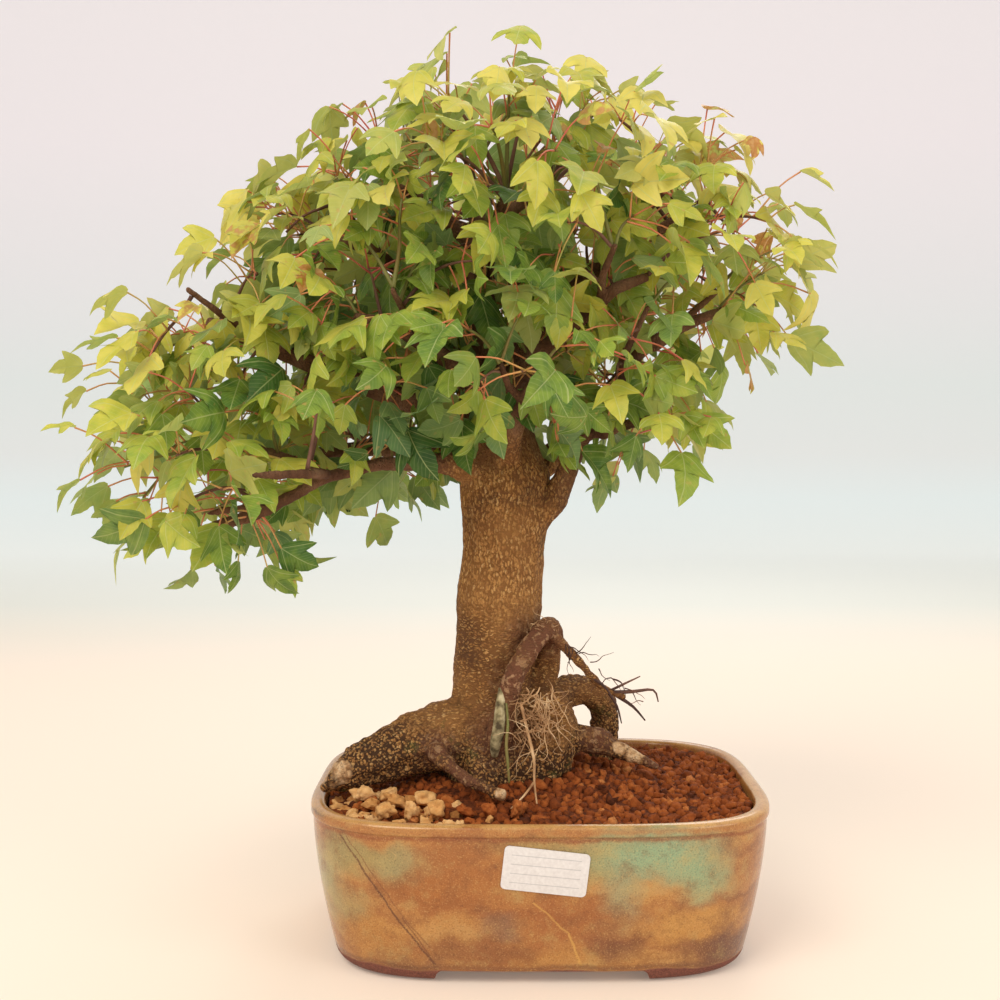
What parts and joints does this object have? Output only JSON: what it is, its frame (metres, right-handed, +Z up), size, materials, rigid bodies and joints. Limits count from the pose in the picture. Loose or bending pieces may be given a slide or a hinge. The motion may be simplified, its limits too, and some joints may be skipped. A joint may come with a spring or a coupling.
{
  "type": "potted trident maple bonsai",
  "caption": "Small maple tree with a thick trunk, exposed roots and a domed leafy crown, growing in a glazed rounded-rectangular pot on corner feet.",
  "frame": {"origin": "bottom centre of the whole object's box, on the plane that the pot's feet stand on", "axes": "+Z up along the trunk; +X along the pot's long side, to the right when the label faces the viewer; -Y out of the labelled front"},
  "size_m": [0.3986, 0.3258, 0.4447],
  "materials": {
    "glaze": "glossy ochre glaze with green and dark brown patches",
    "mesh_plastic": "black plastic",
    "akadama": "matt red-brown clay granules",
    "bark": "rough bark with pale flecks",
    "leaf": "thin living leaf, satin",
    "pebble": "matt pale pebble",
    "sticker": "blank satin sticker"
  },
  "bodies": {
    "root": {"pot": "glaze", "drain_mesh_left": "mesh_plastic", "drain_mesh_right": "mesh_plastic", "soil": "akadama", "tree": "bark", "label": "sticker", "pebble_01": "pebble", "pebble_02": "pebble", "pebble_03": "pebble", "pebble_04": "pebble", "pebble_05": "pebble", "pebble_06": "pebble", "pebble_07": "pebble", "pebble_08": "pebble", "pebble_09": "pebble", "pebble_10": "pebble", "pebble_11": "pebble", "leaf_spray_01": "leaf", "leaf_spray_02": "leaf", "leaf_spray_03": "leaf", "leaf_spray_04": "leaf", "leaf_spray_05": "leaf", "leaf_spray_06": "leaf", "leaf_spray_07": "leaf", "leaf_spray_08": "leaf", "leaf_spray_09": "leaf", "leaf_spray_10": "leaf", "leaf_spray_11": "leaf", "leaf_spray_12": "leaf", "leaf_spray_13": "leaf", "leaf_spray_14": "leaf", "leaf_spray_15": "leaf", "leaf_spray_16": "leaf", "leaf_spray_17": "leaf", "leaf_spray_18": "leaf", "leaf_spray_19": "leaf", "leaf_spray_20": "leaf", "leaf_spray_21": "leaf", "leaf_spray_22": "leaf", "leaf_spray_23": "leaf", "leaf_spray_24": "leaf", "leaf_spray_25": "leaf", "leaf_spray_26": "leaf", "leaf_spray_27": "leaf", "leaf_spray_28": "leaf", "leaf_spray_29": "leaf", "leaf_spray_30": "leaf", "leaf_spray_31": "leaf", "leaf_spray_32": "leaf", "leaf_spray_33": "leaf", "leaf_spray_34": "leaf", "leaf_spray_35": "leaf", "leaf_spray_36": "leaf", "leaf_spray_37": "leaf"}
  },
  "joints": []
}
